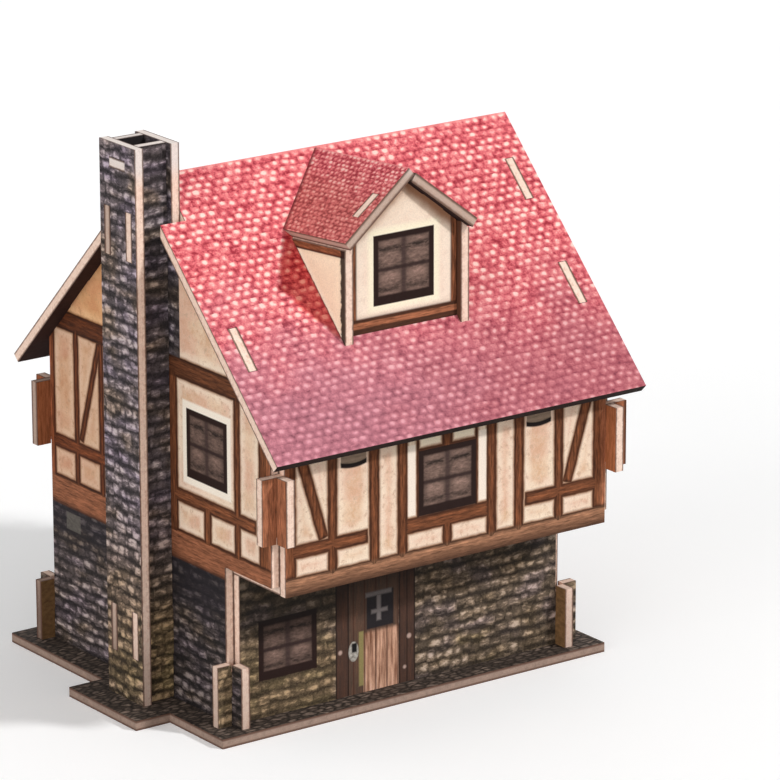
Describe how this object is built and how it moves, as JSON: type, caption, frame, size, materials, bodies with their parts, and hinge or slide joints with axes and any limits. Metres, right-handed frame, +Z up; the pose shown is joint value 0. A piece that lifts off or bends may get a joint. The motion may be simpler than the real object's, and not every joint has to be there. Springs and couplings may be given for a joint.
{
  "type": "slot-together card model of a half timbered house",
  "caption": "Slot-together printed card model of a jettied half timbered house with a tiled gable roof, dormer, outside chimney and its own card base.",
  "frame": {"origin": "On the underside of the base plate, straight below the middle of the roof ridge and halfway between the two gable walls.", "axes": "+Z up; +X along the front wall, away from the chimney; +Y from the door side to the back wall."},
  "size_m": [0.1013, 0.0922, 0.1142],
  "materials": {
    "stone_card": "matt card printed with rubble stone",
    "timber_card": "matt card printed with timber framing and plaster",
    "tile_card": "matt card printed with red roof tiles",
    "paving_card": "matt card printed with dark paving",
    "plain_card": "plain matt board"
  },
  "bodies": {
    "root": {"base_plate": "paving_card", "front_wall_lower": "stone_card", "front_wall_upper": "timber_card", "first_floor": "plain_card", "back_wall": "timber_card", "gable_wall_left": "timber_card", "gable_wall_right": "timber_card", "roof_front": "tile_card", "roof_back": "tile_card", "dormer_front": "timber_card", "dormer_cheek_left": "timber_card", "dormer_cheek_right": "timber_card", "dormer_roof_left": "tile_card", "dormer_roof_right": "tile_card", "chimney_outer": "stone_card", "chimney_side_front": "stone_card", "chimney_side_back": "stone_card", "chimney_flue_plate": "stone_card"}
  },
  "joints": []
}
